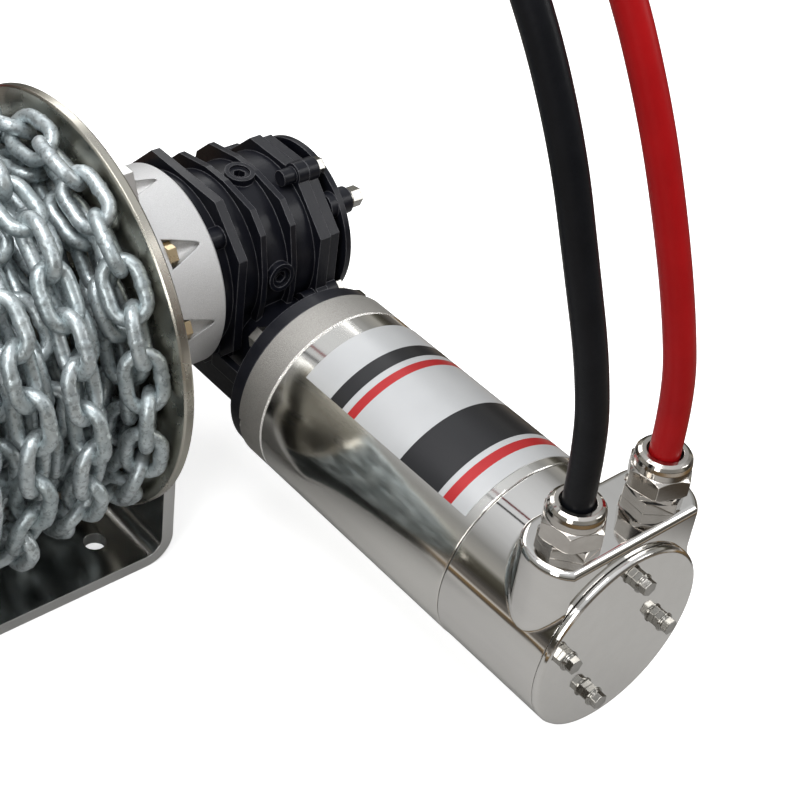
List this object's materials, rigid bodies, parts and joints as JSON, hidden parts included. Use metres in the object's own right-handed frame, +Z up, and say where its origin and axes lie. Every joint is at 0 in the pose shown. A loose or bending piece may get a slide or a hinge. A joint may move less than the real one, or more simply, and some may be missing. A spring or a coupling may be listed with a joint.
{
  "type": "anchor windlass",
  "caption": "Electric drum anchor windlass: chain-filled drum in a bent plate frame, with a worm gearbox and a round motor lying across it, and battery cables.",
  "frame": {"origin": "centre of the base bolt pattern, on the underside of the base plate", "axes": "+Z up from the deck, +X along the drum axis towards the gearbox, motor towards -Y"},
  "size_m": [0.3638, 0.5137, 0.4423],
  "materials": {
    "frame_steel": "satin polished stainless plate",
    "polished_steel": "mirror polished stainless",
    "chain_zinc": "hot-dip galvanised, mottled blue-grey",
    "silver_paint": "fine-grained silver paint",
    "black_paint": "semi-gloss black with light worn edges",
    "blasted_metal": "matte bead-blasted",
    "plain_steel": "bright zinc or ground steel",
    "bronze": "machined bronze",
    "plug_zinc": "zinc plated",
    "magnet_ferrite": "dull ferrite",
    "copper": "turned copper",
    "carbon": "dull carbon",
    "brush_board": "laminated board",
    "gland_nickel": "nickel plated brass",
    "rubber_black": "matte",
    "label_silver": "satin silver foil",
    "black_cable_jacket": "satin",
    "red_cable_jacket": "satin",
    "tinned_copper": "tinned copper"
  },
  "bodies": {
    "frame": {"base_frame": "frame_steel", "black_cable": "black_cable_jacket", "black_gland_body": "gland_nickel", "black_gland_nut": "gland_nickel", "black_gland_seal": "rubber_black", "black_terminal": "tinned_copper", "breather_plug": "plain_steel", "brush_end_frame": "blasted_metal", "brush_plate": "brush_board", "brushes": "carbon", "drive_housing": "silver_paint", "drive_housing_screws": "plain_steel", "end_bearing": "plain_steel", "end_cap": "polished_steel", "end_cap_gaskets": "rubber_black", "end_plate": "polished_steel", "end_plate_fixings": "plain_steel", "field_magnets": "magnet_ferrite", "filler_plugs": "plug_zinc", "gearbox_case": "black_paint", "gearbox_cover_bolts": "plain_steel", "gearbox_end_cover": "black_paint", "gearbox_end_disc": "black_paint", "gearbox_screws": "plain_steel", "left_bearing_housing": "silver_paint", "left_bush": "bronze", "left_housing_screws": "plain_steel", "main_bearing": "plain_steel", "motor_adapter_ring": "blasted_metal", "motor_end_bearing": "plain_steel", "motor_flange_screws": "plain_steel", "motor_label": "label_silver", "motor_sleeve": "polished_steel", "motor_yoke": "black_paint", "red_cable": "red_cable_jacket", "red_gland_adapter": "gland_nickel", "red_gland_body": "gland_nickel", "red_gland_gasket": "rubber_black", "red_gland_nut": "gland_nickel", "red_gland_seal": "rubber_black", "red_terminal": "tinned_copper", "shaft_seal": "rubber_black", "worm_bearing_cover": "plain_steel", "worm_bearings": "plain_steel", "worm_cover_screws": "plain_steel"},
    "drum": {"drum_barrel": "polished_steel", "drum_flange_left": "polished_steel", "drum_flange_right": "polished_steel", "drum_hubs": "polished_steel", "drum_shaft": "plain_steel", "wheel_key": "plain_steel", "shaft_end_fixing": "plain_steel", "worm_wheel": "bronze", "wound_chain": "chain_zinc"},
    "rotor": {"worm": "plain_steel", "motor_shaft": "plain_steel", "shaft_coupling": "plain_steel", "armature": "plain_steel", "commutator": "copper"}
  },
  "joints": [
    {"name": "drum_spin", "type": "hinge", "parent": "frame", "child": "drum", "pos_m": [0, 0, 0.1115], "axis": [1, 0, 0], "continuous": true},
    {"name": "rotor_spin", "type": "hinge", "parent": "frame", "child": "rotor", "pos_m": [0.17, 0, 0.0745], "axis": [0, -1, 0], "continuous": true}
  ],
  "couplings": [
    {"joint": "rotor_spin", "follows": "drum_spin", "ratio": 36}
  ]
}
